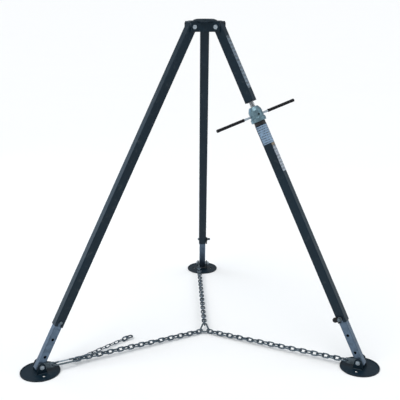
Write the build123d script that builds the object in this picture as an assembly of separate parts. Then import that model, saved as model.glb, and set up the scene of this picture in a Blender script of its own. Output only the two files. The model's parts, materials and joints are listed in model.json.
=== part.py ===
from build123d import *
import os
from math import asin, atan2, cos, radians, sin, sqrt

# Fifth-wheel king-pin tripod stand: a folding head, three telescopic square-tube legs on round
# feet, one leg with a screw jack and a sliding T handle, and three arms of chain between the feet.
# Millimetres. The origin is the centre of the king-pin bore at the head plate's top face, +Z is up
# along the bore, +Y points to the back leg, and the ground is at z = -STAND_HEIGHT.

# ---- overall ----
STAND_HEIGHT = 1079.2
LEG_AZIMUTH = {"left": 210.0, "right": 330.0, "back": 90.0}
FOOT_RADIUS = {"left": 611.8, "right": 574.2, "back": 592.6}
# which side of its leg each piece is on: +1 is counter-clockwise round the stand, seen from above
HEAD_BOLT_SIDE = {"left": 1, "right": -1, "back": -1}
LUG_SIDE = {"left": 1, "right": -1, "back": 1}
PIN_SIDE = {"left": -1, "right": -1, "back": -1}

# ---- head ----
PLATE_THICKNESS = 4.0
PLATE_REACH = 64.0
PLATE_CORNER = 5.0
SKIRT_HEIGHT = 33.0
SKIRT_THICKNESS = 3.0
SKIRT_FLAT = 37.5
PIVOT_RADIUS = 51.85
PIVOT_DROP = 17.5
KING_PIN_BORE = 26.0
COLLAR_WALL = 3.0
COLLAR_RISE = 6.0
COLLAR_DROP = 24.0
COLLAR_FLANGE = 9.0
COLLAR_FLANGE_THICKNESS = 3.0
COLLAR_CHAMFER = 1.0

# ---- tubes ----
OUTER_TUBE = 30.0
OUTER_WALL = 2.0
OUTER_CORNER = 3.5
INNER_TUBE = 25.0
INNER_WALL = 2.0
INNER_CORNER = 3.0
EAR_GAP = 2.5
STOP_GAP = 0.3
TUBE_MARGIN = 1.0

# ---- telescopic lower legs ----
HOLE_PITCH = 60.5
HOLES_BELOW_PIN = 2
HOLES_ABOVE_PIN = 2
LAST_HOLE_TO_FOOT_BOLT = 31.4
SLEEVE_PAST_PIN = 15.0
INNER_TUBE_HELD = 120.0
LOCK_PIN = 4.75
LOCK_PIN_CLEARANCE = 0.35
LOCK_PIN_TIP = 5.0
LOCK_PIN_HEAD = 17.0
LOCK_PIN_CHAMFER = 1.5
LOCK_PIN_COLLAR = 7.0
LOCK_PIN_COLLAR_THICKNESS = 2.0
PIN_TAB_RADIUS = 8.5
PIN_TAB_REACH = 18.0
PIN_TAB_THICKNESS = 4.0

# ---- fasteners ----
BOLT = 4.0
BOLT_HEX = 13.0
BOLT_HEAD_HEIGHT = 5.3
NUT_HEIGHT = 6.5
BOLT_END = 3.0
FIXED_CLEARANCE = 0.25
RUNNING_CLEARANCE = 0.08
WASHER_RADIUS = 8.0
WASHER_SIDE_GAP = 0.15

# ---- feet ----
PAD_RADIUS = 63.5
PAD_THICKNESS = 3.0
PAD_RIM_HEIGHT = 2.0
PAD_RIM_WIDTH = 2.5
FOOT_PIVOT_HEIGHT = 26.0
STAKE_HOLE = 5.0
STAKE_HOLE_OFFSET = 36.0
BRACKET_THICKNESS = 3.0
BRACKET_INSIDE = 35.0
BRACKET_LENGTH = 34.0
EAR_RADIUS = 12.5

# ---- chain ----
CHAIN_WIRE = 2.5
CHAIN_PITCH = 19.0
CHAIN_SLACK = 0.3
HOOKED_GAP = 0.6
CHAIN_INSIDE_WIDTH = 8.5
CHAIN_REST_HEIGHT = 9.0
LEAD_LINKS = 3
TAIL_WIRE = 1.6
TAIL_INSIDE_WIDTH = 6.0
TAIL_LINKS = 11
TAIL_END_LINKS = 2
TAIL_HEADING = 45.0
TAIL_OFFSET = 17.0
LUG_THICKNESS = 4.0
LUG_REACH = 38.0
LUG_DROP = 3.0
LUG_END = 9.0
LUG_HOLE = 5.5
RING_WIRE = 3.0
RING_WIDTH = 36.0
RING_LENGTH = 60.0
RING_TILT = 18.0
RING_CORNER_ROOM = 2.0
RING_FRONT = -44.0
HOOK_WIRE = 3.0
HOOK_LENGTH = 82.0
HOOK_WIDTH = 24.0
HOOK_OPENING = 34.0
HOOK_TONGUE = 2.2
HOOK_RIVET = 1.2
GATE_PIVOT = 1.8
GATE_EYE = 2.4
GATE_WIRE = 2.5
GATE_GAP = 0.5

# ---- screw jack in the right leg ----
JACK_TUBE_END = 255.0
JACK_NUT_LENGTH = 24.0
JACK_NUT_FLANGE = 3.0
JACK_SCREW = 8.0
JACK_GAP = 18.0
JACK_EXTENSION = 115.0
JACK_ENGAGEMENT = 10.0
HUB_HEIGHT = 50.0
HUB_TOP_RADIUS = 15.0
HUB_WAIST_RADIUS = 22.0
HUB_RIM_RADIUS = 25.0
HUB_SHOULDER = 13.0
HUB_RIM_HEIGHT = 12.0
SCREW_SEAT = 16.0
BAR_DROP = 28.1
BAR_RADIUS = 3.5
BAR_HALF_LENGTH = 142.5
BAR_OFFSET = 2.5
BAR_TURN = 41.8
BAR_GRIP_RADIUS = 5.25
BAR_GRIP_LENGTH = 99.0
BAR_GRIP_END = 3.0
THRUST_GAP = 0.4
THRUST_COLLAR_RADIUS = 18.5
THRUST_COLLAR_HEIGHT = 11.0
SPIGOT_RADIUS = 9.0
BEARING_PLUG_LENGTH = 22.0
RETAINER_THICKNESS = 1.5
RETAINER_RADIUS = 11.5
RETAINER_GROOVE = 1.0
PLUG_CLEARANCE = 0.1

os.makedirs("parts", exist_ok=True)


# ---- derived places ----
def radial(name):
    angle = radians(LEG_AZIMUTH[name])
    return Vector(cos(angle), sin(angle), 0)


def tangent(name):
    return Vector(0, 0, 1).cross(radial(name))


def pivot_point(name):
    return radial(name) * PIVOT_RADIUS - Vector(0, 0, PIVOT_DROP)


def foot_point(name):
    return radial(name) * FOOT_RADIUS[name] - Vector(0, 0, STAND_HEIGHT - FOOT_PIVOT_HEIGHT)


def leg_length(name):
    return (foot_point(name) - pivot_point(name)).length


def leg_splay(name):
    return asin((FOOT_RADIUS[name] - PIVOT_RADIUS) / leg_length(name))


def leg_place(name):
    """Leg frame: origin at the head bolt, z up along the leg, x out of the leg's outer face."""
    up = (pivot_point(name) - foot_point(name)).normalized()
    out = tangent(name).cross(up)
    return Plane(origin=pivot_point(name), x_dir=out, z_dir=up).location


def foot_place(name):
    """Foot frame: origin at the foot bolt, x pointing away from the stand, z up."""
    return Plane(origin=foot_point(name), x_dir=radial(name), z_dir=(0, 0, 1)).location


def pin_drop(name):
    """Distance down the leg from the head bolt to the lock pin."""
    return leg_length(name) - LAST_HOLE_TO_FOOT_BOLT - HOLES_BELOW_PIN * HOLE_PITCH


def sleeve_end(name):
    return pin_drop(name) + SLEEVE_PAST_PIN


TUBE_HALF = OUTER_TUBE / 2
SKIRT_INSIDE = TUBE_HALF + EAR_GAP
SKIRT_OUTSIDE = SKIRT_INSIDE + SKIRT_THICKNESS
BRACKET_HALF = BRACKET_INSIDE / 2
BRACKET_OUTSIDE = BRACKET_HALF + BRACKET_THICKNESS
COLLAR_OUTSIDE = KING_PIN_BORE + COLLAR_WALL
RING_CORNER = RING_WIRE + CHAIN_WIRE + RING_CORNER_ROOM
PAD_TOP = PAD_THICKNESS - FOOT_PIVOT_HEIGHT
BRACKET_FLOOR = PAD_TOP + BRACKET_THICKNESS
HUB_TOP = JACK_TUBE_END + JACK_NUT_FLANGE + JACK_GAP
HUB_BOTTOM = HUB_TOP + HUB_HEIGHT
LOWER_TUBE_TOP = HUB_BOTTOM + THRUST_GAP + THRUST_COLLAR_HEIGHT


# ---- shape helpers ----
def block(x, y, z):
    """A box from its (low, high) along each axis."""
    size = [high - low for low, high in (x, y, z)]
    middle = [(high + low) / 2 for low, high in (x, y, z)]
    return Pos(*middle) * Box(*size)


def turned(low, high, radius):
    """A round bar along z from low to high."""
    return Pos(0, 0, (low + high) / 2) * Cylinder(radius, high - low)


def across(low, high, radius):
    """A round bar along y from low to high."""
    return Rot(-90, 0, 0) * turned(low, high, radius)


def square_tube(size, wall, corner, low, high):
    inner = size - 2 * wall
    ring = RectangleRounded(size, size, corner) - RectangleRounded(inner, inner, corner - wall)
    return Pos(0, 0, low) * extrude(ring, amount=high - low)


def hexagon_bar(low, high):
    """A hexagon across the flats of the bolts' heads, along y."""
    shape = extrude(RegularPolygon(BOLT_HEX / 2, 6, major_radius=False), amount=high - low)
    return Rot(-90, 0, 0) * Pos(0, 0, low) * shape


def ring_across(low, high, inner, outer):
    return across(low, high, outer) - across(low, high, inner)


def mirrored(side, shape):
    """The shape as drawn with its head on +y, or turned half round z onto -y."""
    return shape if side > 0 else Rot(0, 0, 180) * shape


def bolt(outside, side):
    shank = across(-outside - NUT_HEIGHT - BOLT_END, outside, BOLT)
    shank = chamfer(shank.edges().filter_by(GeomType.CIRCLE).sort_by(Axis.Y)[0], 0.8)
    head = hexagon_bar(outside, outside + BOLT_HEAD_HEIGHT)
    return mirrored(side, shank + head)


def nut(outside, side):
    shape = hexagon_bar(-outside - NUT_HEIGHT, -outside)
    shape -= across(-outside - NUT_HEIGHT, -outside, BOLT + PLUG_CLEARANCE)
    return mirrored(side, shape)


def save(name, shapes):
    solids = [solid for shape in shapes for solid in shape.solids()]
    export_step(solids[0] if len(solids) == 1 else Compound(solids), f"parts/{name}.step")


# ---- head ----
def plate_outline():
    """Three arms over the legs, joined across the middle by a flat side in each gap."""
    outline = RegularPolygon(SKIRT_FLAT, 3, major_radius=False, rotation=30)
    outline &= Circle(PLATE_REACH - PLATE_CORNER)
    for angle in LEG_AZIMUTH.values():
        arm = RectangleRounded(2 * PLATE_REACH, 2 * SKIRT_OUTSIDE, PLATE_CORNER)
        half = Rectangle(PLATE_REACH, 2 * SKIRT_OUTSIDE, align=(Align.MIN, Align.CENTER))
        outline += Rot(0, 0, angle) * (arm & half)
    return outline


def head_plate():
    plate = extrude(plate_outline(), amount=-PLATE_THICKNESS)
    return plate - turned(-PLATE_THICKNESS, 0, COLLAR_OUTSIDE + PLUG_CLEARANCE)


def king_pin_collar():
    outline = [
        (KING_PIN_BORE, -COLLAR_DROP),
        (COLLAR_OUTSIDE, -COLLAR_DROP),
        (COLLAR_OUTSIDE, 0),
        (COLLAR_OUTSIDE + COLLAR_FLANGE, 0),
        (COLLAR_OUTSIDE + COLLAR_FLANGE, COLLAR_FLANGE_THICKNESS),
        (COLLAR_OUTSIDE, COLLAR_RISE),
        (KING_PIN_BORE, COLLAR_RISE),
    ]
    collar = revolve(Plane.XZ * Polygon(*outline, align=None), Axis.Z)
    inner = collar.edges().filter_by(GeomType.CIRCLE)
    inner = inner.filter_by(lambda edge: edge.radius < KING_PIN_BORE + COLLAR_WALL / 2)
    return chamfer(inner, COLLAR_CHAMFER)


def skirt_half(side):
    """A skirt's outer and inner lines from above: its corner beside a leg, and its cheek's end."""
    angle = radians(30)
    lines = []
    for flat, cheek in ((SKIRT_FLAT, SKIRT_OUTSIDE), (SKIRT_FLAT - SKIRT_THICKNESS, SKIRT_INSIDE)):
        corner_x = (flat * cos(angle) - cheek) / sin(angle)
        end_x = PLATE_REACH * cos(angle) - cheek * sin(angle)
        end_y = -PLATE_REACH * sin(angle) - cheek * cos(angle)
        lines.append([(side * corner_x, -flat), (side * end_x, end_y)])
    return lines


def skirt(turn):
    """One bent strip: a flat across the gap between two legs, with a cheek beside each leg."""
    right_outer, right_inner = skirt_half(1)
    left_outer, left_inner = skirt_half(-1)
    corners = right_outer + right_inner[::-1] + left_inner + left_outer[::-1]
    height = SKIRT_HEIGHT - PLATE_THICKNESS
    strip = Pos(0, 0, -SKIRT_HEIGHT) * extrude(Polygon(*corners, align=None), amount=height)
    for name, angle in (("right", -30.0), ("left", 210.0)):
        hole = across(-PLATE_REACH, PLATE_REACH, BOLT + FIXED_CLEARANCE)
        strip -= Rot(0, 0, angle) * Pos(PIVOT_RADIUS, 0, -PIVOT_DROP) * hole
    return Rot(0, 0, turn) * strip


def head_place(name):
    return Rot(0, 0, LEG_AZIMUTH[name]) * Pos(PIVOT_RADIUS, 0, -PIVOT_DROP)


def pivot_washers(name):
    low = TUBE_HALF + WASHER_SIDE_GAP
    high = SKIRT_INSIDE - WASHER_SIDE_GAP
    washer = ring_across(low, high, BOLT + FIXED_CLEARANCE, WASHER_RADIUS)
    return [head_place(name) * washer, head_place(name) * Rot(0, 0, 180) * washer]


def make_head():
    names = list(LEG_AZIMUTH)
    save("head_plate", [head_plate()])
    save("king_pin_collar", [king_pin_collar()])
    save("skirt_front", [skirt(0)])
    save("skirt_back_right", [skirt(120)])
    save("skirt_back_left", [skirt(240)])
    save("head_bolts", [head_place(n) * bolt(SKIRT_OUTSIDE, HEAD_BOLT_SIDE[n]) for n in names])
    save("head_nuts", [head_place(n) * nut(SKIRT_OUTSIDE, HEAD_BOLT_SIDE[n]) for n in names])
    save("pivot_washers", [washer for n in names for washer in pivot_washers(n)])


# ---- legs ----
def tube_top(name):
    """How far the tube reaches above the head bolt: its outer edge stops against the plate."""
    splay = leg_splay(name)
    room = PIVOT_DROP - PLATE_THICKNESS - STOP_GAP - TUBE_HALF * sin(splay)
    return room / cos(splay)


def notched_sleeve(name, top):
    """A leg tube whose lower end has an open notch in both side walls, where the pin seats."""
    bottom = -sleeve_end(name)
    tube = square_tube(OUTER_TUBE, OUTER_WALL, OUTER_CORNER, bottom, top)
    seat = LOCK_PIN + LOCK_PIN_CLEARANCE
    tube -= Pos(0, 0, -pin_drop(name)) * across(-OUTER_TUBE, OUTER_TUBE, seat)
    mouth = (bottom - 1, -pin_drop(name))
    return tube - block((-seat, seat), (-OUTER_TUBE, OUTER_TUBE), mouth)


def inner_tube(name):
    top = HOLES_ABOVE_PIN * HOLE_PITCH + INNER_TUBE_HELD - pin_drop(name)
    reach = -BRACKET_FLOOR - TUBE_MARGIN
    past_bolt = sqrt(reach**2 - (INNER_TUBE / 2) ** 2)
    bottom = -leg_length(name) - past_bolt
    tube = square_tube(INNER_TUBE, INNER_WALL, INNER_CORNER, bottom, top)
    for step in range(-HOLES_ABOVE_PIN, HOLES_BELOW_PIN + 1):
        hole = across(-INNER_TUBE, INNER_TUBE, LOCK_PIN + RUNNING_CLEARANCE)
        tube -= Pos(0, 0, -pin_drop(name) - step * HOLE_PITCH) * hole
    bolt_hole = across(-INNER_TUBE, INNER_TUBE, BOLT + FIXED_CLEARANCE)
    return tube - Pos(0, 0, -leg_length(name)) * bolt_hole


def lock_pin():
    """A straight pin through the leg along y, with a collar that holds its thumb tab."""
    rod = across(-TUBE_HALF - LOCK_PIN_TIP, TUBE_HALF + LOCK_PIN_HEAD, LOCK_PIN)
    rod = chamfer(rod.edges().filter_by(GeomType.CIRCLE), LOCK_PIN_CHAMFER)
    collar = TUBE_HALF + LOCK_PIN_CLEARANCE + PIN_TAB_THICKNESS
    return rod + across(collar, collar + LOCK_PIN_COLLAR_THICKNESS, LOCK_PIN_COLLAR)


def pin_grip():
    """A flat dipped tab on the pin, reaching in along -x past the sleeve's edge."""
    outline = Pos(-PIN_TAB_REACH / 2, 0) * SlotCenterToCenter(PIN_TAB_REACH, 2 * PIN_TAB_RADIUS)
    tab = extrude(Plane.XZ * outline, amount=PIN_TAB_THICKNESS / 2, both=True)
    tab = fillet(tab.faces().filter_by(Axis.Y).edges(), PIN_TAB_THICKNESS / 4)
    tab -= across(-PIN_TAB_THICKNESS, PIN_TAB_THICKNESS, LOCK_PIN + 0.02)
    return Pos(0, TUBE_HALF + LOCK_PIN_CLEARANCE + PIN_TAB_THICKNESS / 2, 0) * tab


def placed_pin(name, shape):
    """Puts a pin's shape in its leg, with the head on that leg's pin side."""
    if PIN_SIDE[name] < 0:
        shape = mirror(shape, about=Plane.XZ)
    return leg_place(name) * Pos(0, 0, -pin_drop(name)) * shape


def make_leg(name):
    place = leg_place(name)
    at_foot = place * Pos(0, 0, -leg_length(name))
    side = LUG_SIDE[name]
    save(f"{name}_inner_tube", [place * inner_tube(name)])
    save(f"{name}_lock_pin", [placed_pin(name, lock_pin())])
    save(f"{name}_pin_grip", [placed_pin(name, pin_grip())])
    save(f"{name}_foot_bolt", [at_foot * bolt(BRACKET_OUTSIDE, side)])
    low = INNER_TUBE / 2 + WASHER_SIDE_GAP
    high = BRACKET_HALF - WASHER_SIDE_GAP
    spacer = ring_across(-high, -low, BOLT + FIXED_CLEARANCE, WASHER_RADIUS)
    save(f"{name}_foot_nut", [at_foot * nut(BRACKET_OUTSIDE, side), at_foot * mirrored(side, spacer)])


def make_plain_leg(name):
    tube = notched_sleeve(name, tube_top(name))
    tube -= across(-OUTER_TUBE, OUTER_TUBE, BOLT + RUNNING_CLEARANCE)
    save(f"{name}_outer_tube", [leg_place(name) * tube])
    make_leg(name)


# ---- feet ----
def foot_pad():
    bottom = -FOOT_PIVOT_HEIGHT
    pad = turned(bottom, PAD_TOP, PAD_RADIUS)
    rim = turned(bottom, PAD_TOP + PAD_RIM_HEIGHT, PAD_RADIUS)
    rim -= turned(bottom, PAD_TOP + PAD_RIM_HEIGHT, PAD_RADIUS - PAD_RIM_WIDTH)
    pad += rim
    pad = fillet(pad.edges().filter_by(GeomType.CIRCLE).sort_by(Axis.Z)[-2:], 0.8)
    for side in (-1, 1):
        pad -= Pos(0, side * STAKE_HOLE_OFFSET, 0) * turned(bottom, PAD_TOP, STAKE_HOLE)
    return pad


def foot_bracket():
    """A bent U strap, with its base on the pad and a rounded ear each side of the leg."""
    half = BRACKET_LENGTH / 2
    sides = [(-half, PAD_TOP), (half, PAD_TOP), (EAR_RADIUS, 0), (-EAR_RADIUS, 0)]
    ear = Plane.XZ * (Polygon(*sides, align=None) + Circle(EAR_RADIUS))
    ear = Pos(0, BRACKET_OUTSIDE, 0) * extrude(ear, amount=BRACKET_THICKNESS)
    far = Pos(0, -BRACKET_HALF - BRACKET_OUTSIDE, 0) * ear
    spread = (-BRACKET_OUTSIDE, BRACKET_OUTSIDE)
    strap = ear + far + block((-half, half), spread, (PAD_TOP, BRACKET_FLOOR))
    hole = BOLT + RUNNING_CLEARANCE
    return strap - across(-BRACKET_OUTSIDE, BRACKET_OUTSIDE, hole)


def make_foot(name):
    place = foot_place(name)
    save(f"{name}_foot_pad", [place * foot_pad()])
    save(f"{name}_foot_bracket", [place * foot_bracket()])


# ---- chain ----
def lug_offset(name):
    """Middle of the lug's thickness, between the inner tube and the bracket's ear."""
    return LUG_SIDE[name] * (INNER_TUBE / 2 + BRACKET_HALF) / 2


def chain_lug():
    """A flat plate from the foot bolt in towards the middle of the stand, pierced at its end."""
    start = Circle(EAR_RADIUS - 2)
    end = Pos(-LUG_REACH, -LUG_DROP) * Circle(LUG_END)
    top = (-LUG_REACH, LUG_END - LUG_DROP)
    bottom = (-LUG_REACH, -LUG_END - LUG_DROP)
    web = Polygon((0, EAR_RADIUS - 2), top, bottom, (0, 2 - EAR_RADIUS), align=None)
    outline = start + end + web - Pos(-LUG_REACH, -LUG_DROP) * Circle(LUG_HOLE)
    outline -= Circle(BOLT + RUNNING_CLEARANCE)
    plate = extrude(Plane.XZ * outline, amount=LUG_THICKNESS / 2, both=True)
    return plate


def lug_hole(name):
    """The centre of the hole in a lug's inner end."""
    centre = foot_point(name) + tangent(name) * lug_offset(name)
    return centre - radial(name) * LUG_REACH - Vector(0, 0, LUG_DROP)


def link(pitch, wire, inside_width):
    """One oval link along x, flat in xy, centred on the origin."""
    path = SlotOverall(pitch + CHAIN_SLACK + 2 * wire, inside_width + 2 * wire).wire()
    start = Plane(origin=path @ 0, z_dir=path % 0)
    return sweep(start * Circle(wire), path=path)


def run_frame(start, end):
    """x along the run from start to end, y level."""
    along = (end - start).normalized()
    level = Vector(0, 0, 1).cross(along).normalized()
    return Plane(origin=start, x_dir=along, z_dir=along.cross(level)).location


def chain_run(start, end, count, first=0, wire=CHAIN_WIRE, inside_width=CHAIN_INSIDE_WIDTH):
    """Links from start to end, each turned a quarter from the last; first is the first's turn."""
    pitch = (end - start).length / count
    one = link(pitch, wire, inside_width)
    frame = run_frame(start, end)
    turns = [90 * ((i + first) % 2) for i in range(count)]
    return [frame * Pos((i + 0.5) * pitch, 0, 0) * Rot(turns[i], 0, 0) * one for i in range(count)]


def ring_frame():
    """The ring's own frame: x along its front bar, y up its slope to the back corner."""
    return Pos(0, RING_FRONT, CHAIN_REST_HEIGHT - STAND_HEIGHT) * Rot(RING_TILT, 0, 0)


def ring_corner(name):
    """The middle of the ring's wire at the rounded corner that an arm of chain hooks round."""
    half_base = atan2(RING_LENGTH, RING_WIDTH / 2) / 2
    half_top = radians(90) - 2 * half_base
    if name == "back":
        flat = (0, RING_LENGTH - RING_CORNER * (1 / sin(half_top) - 1))
    else:
        inset = RING_CORNER * (1 / sin(half_base) - 1)
        sign = 1 if name == "right" else -1
        flat = (sign * (RING_WIDTH / 2 - inset * cos(half_base)), inset * sin(half_base))
    return (ring_frame() * Pos(*flat, 0)).position


def arm_along(name):
    return (ring_corner(name) - lug_hole(name)).normalized()


def arm_start(name):
    """The inside of the first link's end, which bears on the inner edge of the lug's hole."""
    return lug_hole(name) + arm_along(name) * (LUG_HOLE - HOOKED_GAP)


def arm_end(name):
    """The inside of the last link's end, just past the ring's wire."""
    return ring_corner(name) + arm_along(name) * (RING_WIRE + HOOKED_GAP)


def hook_start():
    """The middle of the snap hook's wire where it passes through the left lug."""
    return lug_hole("left") + arm_along("left") * (LUG_HOLE - HOOK_WIRE - HOOKED_GAP)


def arm_joint(name):
    """Where an arm's free run of chain starts, past the links or the hook that lie over the pad."""
    if name == "left":
        reach = HOOK_LENGTH - 3 * HOOK_WIRE - CHAIN_SLACK / 2
        return hook_start() + arm_along(name) * reach
    return arm_start(name) + arm_along(name) * LEAD_LINKS * CHAIN_PITCH


def arm_links(name):
    """An odd number, so that the run's first and last links both stand on edge."""
    pairs = ((arm_end(name) - arm_joint(name)).length / CHAIN_PITCH - 1) / 2
    return 2 * round(pairs) + 1


def delta_ring():
    half = RING_WIDTH / 2
    corners = [(-half, 0), (half, 0), (0, RING_LENGTH)]
    path = FilletPolyline(*corners, radius=RING_CORNER, close=True)
    start = Plane(origin=path @ 0, z_dir=path % 0)
    return ring_frame() * sweep(start * Circle(RING_WIRE), path=path)


def hook_frame():
    return run_frame(hook_start(), arm_joint("left"))


def hook_loop():
    """The hook's closed outline along x, starting at its outer end."""
    path = SlotOverall(HOOK_LENGTH - 2 * HOOK_WIRE, HOOK_WIDTH - 2 * HOOK_WIRE).wire()
    start = Plane(origin=path @ 0, z_dir=path % 0)
    middle = (HOOK_LENGTH - 2 * HOOK_WIRE) / 2
    return Pos(middle, 0, 0) * sweep(start * Circle(HOOK_WIRE), path=path)


def gate_line():
    """The side of the hook that opens: its y, and the two ends of the opening along x."""
    middle = (HOOK_LENGTH - 2 * HOOK_WIRE) / 2
    return HOOK_WIDTH / 2 - HOOK_WIRE, middle - HOOK_OPENING / 2, middle + HOOK_OPENING / 2


def snap_hook():
    y, low, high = gate_line()
    reach = 2 * HOOK_WIRE
    body = hook_loop() - block((low, high), (y - reach, y + reach), (-reach, reach))
    slot = HOOK_TONGUE / 2 + GATE_GAP
    depth = GATE_PIVOT + GATE_EYE + GATE_GAP
    body -= block((low - depth, low), (y - reach, y + reach), (-slot, slot))
    return body + Pos(low - GATE_PIVOT, y, 0) * turned(1 - HOOK_WIRE, HOOK_WIRE - 1, HOOK_RIVET)


def hook_gate():
    y, low, high = gate_line()
    rod = Rot(0, 90, 0) * turned(low + GATE_GAP, high - GATE_GAP, GATE_WIRE)
    tongue = HOOK_TONGUE / 2
    eye = Pos(low - GATE_PIVOT, 0, 0) * turned(-tongue, tongue, GATE_EYE)
    neck_half = 0.8 * GATE_EYE
    neck = block((low - GATE_PIVOT, low + GATE_EYE), (-neck_half, neck_half), (-tongue, tongue))
    hole = turned(-HOOK_WIRE, HOOK_WIRE, HOOK_RIVET + RUNNING_CLEARANCE)
    gate = rod + eye + neck - Pos(low - GATE_PIVOT, 0, 0) * hole
    return Pos(0, y, 0) * gate


def tail_start():
    """Beside the hook's outer end, on the side towards the back leg."""
    level = Vector(0, 0, 1).cross(arm_along("left")).normalized()
    start = arm_joint("left") + level * TAIL_OFFSET
    return Vector(start.X, start.Y, CHAIN_REST_HEIGHT - STAND_HEIGHT)


def tail_point(links):
    """How far the tail has run after a number of its links."""
    heading = radians(TAIL_HEADING)
    return tail_start() + Vector(cos(heading), sin(heading), 0) * links * CHAIN_PITCH


def tail_run():
    """Light links from beside the hook, ending in a few of the main chain's size."""
    change = tail_point(TAIL_LINKS)
    end = tail_point(TAIL_LINKS + TAIL_END_LINKS)
    light = chain_run(tail_start(), change, TAIL_LINKS, 0, TAIL_WIRE, TAIL_INSIDE_WIDTH)
    return light + chain_run(change, end, TAIL_END_LINKS, first=TAIL_LINKS)


def make_chain():
    for name in LEG_AZIMUTH:
        plate = foot_place(name) * Pos(0, lug_offset(name), 0) * chain_lug()
        save(f"{name}_chain_lug", [plate])
        if name != "left":
            lead = chain_run(arm_start(name), arm_joint(name), LEAD_LINKS)
            save(f"{name}_chain_lead", lead)
        run = chain_run(arm_joint(name), arm_end(name), arm_links(name), first=1)
        save(f"{name}_chain", run)
    save("chain_tail", tail_run())
    save("delta_ring", [delta_ring()])
    save("snap_hook", [hook_frame() * snap_hook()])
    save("snap_hook_gate", [hook_frame() * hook_gate()])


# ---- screw jack ----
def upper_tube():
    tube = square_tube(OUTER_TUBE, OUTER_WALL, OUTER_CORNER, -JACK_TUBE_END, tube_top("right"))
    return tube - across(-OUTER_TUBE, OUTER_TUBE, BOLT + RUNNING_CLEARANCE)


def square_plug(low, high):
    size = OUTER_TUBE - 2 * OUTER_WALL - 2 * PLUG_CLEARANCE
    return Pos(0, 0, low) * extrude(RectangleRounded(size, size, 1.5), amount=high - low)


def square_cap(low, high):
    return Pos(0, 0, low) * extrude(RectangleRounded(OUTER_TUBE, OUTER_TUBE, OUTER_CORNER), high - low)


def jack_nut():
    """The fixed nut: a square block in the upper tube's end, with a cap over the tube's edge."""
    end = -JACK_TUBE_END
    body = square_plug(end, end + JACK_NUT_LENGTH) + square_cap(end - JACK_NUT_FLANGE, end)
    bore = JACK_SCREW + RUNNING_CLEARANCE
    return body - turned(end - JACK_NUT_FLANGE, end + JACK_NUT_LENGTH, bore)


def jack_screw():
    top = -JACK_TUBE_END + JACK_NUT_LENGTH + JACK_EXTENSION + JACK_ENGAGEMENT
    screw = turned(-HUB_TOP - SCREW_SEAT, top, JACK_SCREW)
    return chamfer(screw.edges().filter_by(GeomType.CIRCLE).sort_by(Axis.Z)[-1], 1.5)


def jack_hub():
    top = -HUB_TOP
    bottom = -HUB_BOTTOM
    spigot_end = -LOWER_TUBE_TOP - BEARING_PLUG_LENGTH - 2 * RETAINER_THICKNESS - THRUST_GAP
    outline = [
        (0, top),
        (HUB_TOP_RADIUS, top),
        (HUB_WAIST_RADIUS, top - HUB_SHOULDER),
        (HUB_WAIST_RADIUS, bottom + HUB_RIM_HEIGHT + 2),
        (HUB_RIM_RADIUS, bottom + HUB_RIM_HEIGHT),
        (HUB_RIM_RADIUS, bottom),
        (SPIGOT_RADIUS, bottom),
        (SPIGOT_RADIUS, spigot_end),
        (0, spigot_end),
    ]
    hub = revolve(Plane.XZ * Polygon(*outline, align=None), Axis.Z)
    soft = [edge for edge in hub.edges().filter_by(GeomType.CIRCLE) if edge.radius > HUB_TOP_RADIUS - 1]
    hub = fillet(soft, 1.2)
    hub -= turned(top - SCREW_SEAT, top, JACK_SCREW + PLUG_CLEARANCE)
    for turn in (BAR_TURN, BAR_TURN + 90):
        hole = across(-HUB_RIM_RADIUS, HUB_RIM_RADIUS, BAR_RADIUS + RUNNING_CLEARANCE)
        hub -= Pos(0, 0, top - BAR_DROP) * Rot(0, 0, -turn) * hole
    groove_top = -LOWER_TUBE_TOP - BEARING_PLUG_LENGTH - THRUST_GAP
    groove = turned(groove_top - RETAINER_THICKNESS, groove_top, SPIGOT_RADIUS)
    groove -= turned(groove_top - RETAINER_THICKNESS, groove_top, SPIGOT_RADIUS - RETAINER_GROOVE)
    return hub - groove


def retaining_ring():
    top = -LOWER_TUBE_TOP - BEARING_PLUG_LENGTH - THRUST_GAP
    ring = turned(top - RETAINER_THICKNESS + 0.05, top - 0.05, RETAINER_RADIUS)
    inner = SPIGOT_RADIUS - RETAINER_GROOVE + 0.05
    ring -= turned(top - RETAINER_THICKNESS, top, inner)
    gap = 2.0
    return ring - block((0, RETAINER_RADIUS + 1), (-gap, gap), (top - 2 * RETAINER_THICKNESS, top))


def thrust_collar():
    top = -HUB_BOTTOM - THRUST_GAP
    collar = turned(top - THRUST_COLLAR_HEIGHT, top, THRUST_COLLAR_RADIUS)
    collar = fillet(collar.edges().filter_by(GeomType.CIRCLE), 1.0)
    return collar - turned(top - THRUST_COLLAR_HEIGHT, top, SPIGOT_RADIUS + RUNNING_CLEARANCE)


def bearing_plug():
    top = -LOWER_TUBE_TOP
    plug = square_plug(top - BEARING_PLUG_LENGTH, top)
    return plug - turned(top - BEARING_PLUG_LENGTH, top, SPIGOT_RADIUS + RUNNING_CLEARANCE)


def bar_place():
    """The T handle's frame: y along the bar, from its middle."""
    turn = Pos(0, 0, -HUB_TOP - BAR_DROP) * Rot(0, 0, -BAR_TURN)
    return leg_place("right") * turn * Pos(0, -BAR_OFFSET, 0)


def handle_bar():
    bar = across(-BAR_HALF_LENGTH + BAR_GRIP_END, BAR_HALF_LENGTH - BAR_GRIP_END, BAR_RADIUS)
    return chamfer(bar.edges().filter_by(GeomType.CIRCLE), 0.8)


def bar_grip(side):
    start = BAR_HALF_LENGTH - BAR_GRIP_LENGTH
    grip = across(start, BAR_HALF_LENGTH, BAR_GRIP_RADIUS)
    grip = fillet(grip.edges().filter_by(GeomType.CIRCLE), 2.0)
    grip -= across(start, BAR_HALF_LENGTH - BAR_GRIP_END, BAR_RADIUS + 0.02)
    return mirrored(side, grip)


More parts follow.
